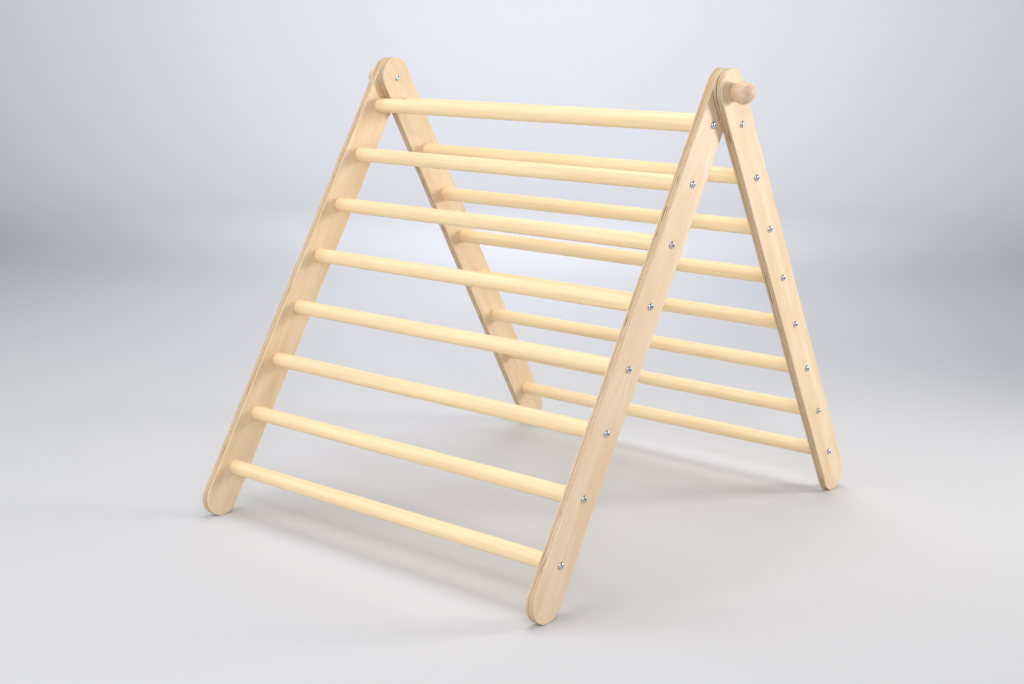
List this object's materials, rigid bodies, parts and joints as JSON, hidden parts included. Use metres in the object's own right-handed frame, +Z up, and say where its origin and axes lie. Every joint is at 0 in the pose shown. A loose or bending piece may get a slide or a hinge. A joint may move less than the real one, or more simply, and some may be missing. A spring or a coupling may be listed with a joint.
{
  "type": "folding climbing triangle",
  "caption": "Wooden play climbing triangle: two plywood-railed rung ladders that turn on knob-clamped pivots at the top and stand as an A-frame.",
  "frame": {"origin": "on the floor, in the middle of the stance", "axes": "+Z up; X along the pivots and the rungs; the front ladder stands out to -Y and the back ladder to +Y"},
  "size_m": [0.967, 1.0714, 0.9189],
  "materials": {
    "rail_plywood": "birch plywood, faces sanded and clear oiled, laminated edges eased",
    "rung_dowel": "turned softwood dowel, sanded smooth",
    "knob_wood": "turned beech, waxed",
    "bolt_zinc": "bright zinc-plated steel",
    "insert_alloy": "yellow-passivated zinc alloy, hidden in the wood"
  },
  "bodies": {
    "front_ladder": {"front_left_rail": "rail_plywood", "front_right_rail": "rail_plywood", "front_rung_1": "rung_dowel", "front_rung_2": "rung_dowel", "front_rung_3": "rung_dowel", "front_rung_4": "rung_dowel", "front_rung_5": "rung_dowel", "front_rung_6": "rung_dowel", "front_rung_7": "rung_dowel", "front_rung_8": "rung_dowel", "front_left_bolts": "bolt_zinc", "front_right_bolts": "bolt_zinc", "front_left_inserts": "insert_alloy", "front_right_inserts": "insert_alloy", "right_pivot_bolt": "bolt_zinc", "right_pivot_washer": "bolt_zinc"},
    "back_ladder": {"back_left_rail": "rail_plywood", "back_right_rail": "rail_plywood", "back_rung_1": "rung_dowel", "back_rung_2": "rung_dowel", "back_rung_3": "rung_dowel", "back_rung_4": "rung_dowel", "back_rung_5": "rung_dowel", "back_rung_6": "rung_dowel", "back_rung_7": "rung_dowel", "back_rung_8": "rung_dowel", "back_left_bolts": "bolt_zinc", "back_right_bolts": "bolt_zinc", "back_left_inserts": "insert_alloy", "back_right_inserts": "insert_alloy", "left_pivot_bolt": "bolt_zinc", "left_pivot_washer": "bolt_zinc"},
    "left_knob_thread": {"left_knob_insert": "insert_alloy"},
    "left_knob_grip": {"left_knob": "knob_wood"},
    "right_knob_thread": {"right_knob_insert": "insert_alloy"},
    "right_knob_grip": {"right_knob": "knob_wood"}
  },
  "joints": [
    {"name": "fold", "type": "hinge", "parent": "front_ladder", "child": "back_ladder", "pos_m": [0, 0, 0.87564], "axis": [1, 0, 0], "range_deg": [-8.3, 118.6]},
    {"name": "left_knob_travel", "type": "slide", "parent": "back_ladder", "child": "left_knob_thread", "axis": [-1, 0, 0], "range_m": [0, 0.015]},
    {"name": "left_knob_turn", "type": "hinge", "parent": "left_knob_thread", "child": "left_knob_grip", "pos_m": [-0.46255, 0, 0.87564], "axis": [-1, 0, 0], "range_deg": [0, 4320]},
    {"name": "right_knob_travel", "type": "slide", "parent": "front_ladder", "child": "right_knob_thread", "axis": [1, 0, 0], "range_m": [0, 0.015]},
    {"name": "right_knob_turn", "type": "hinge", "parent": "right_knob_thread", "child": "right_knob_grip", "pos_m": [0.46255, 0, 0.87564], "axis": [1, 0, 0], "range_deg": [0, 4320]}
  ],
  "couplings": [
    {"joint": "left_knob_turn", "follows": "left_knob_travel", "rad_per_m": 5026.5},
    {"joint": "right_knob_turn", "follows": "right_knob_travel", "rad_per_m": 5026.5}
  ]
}
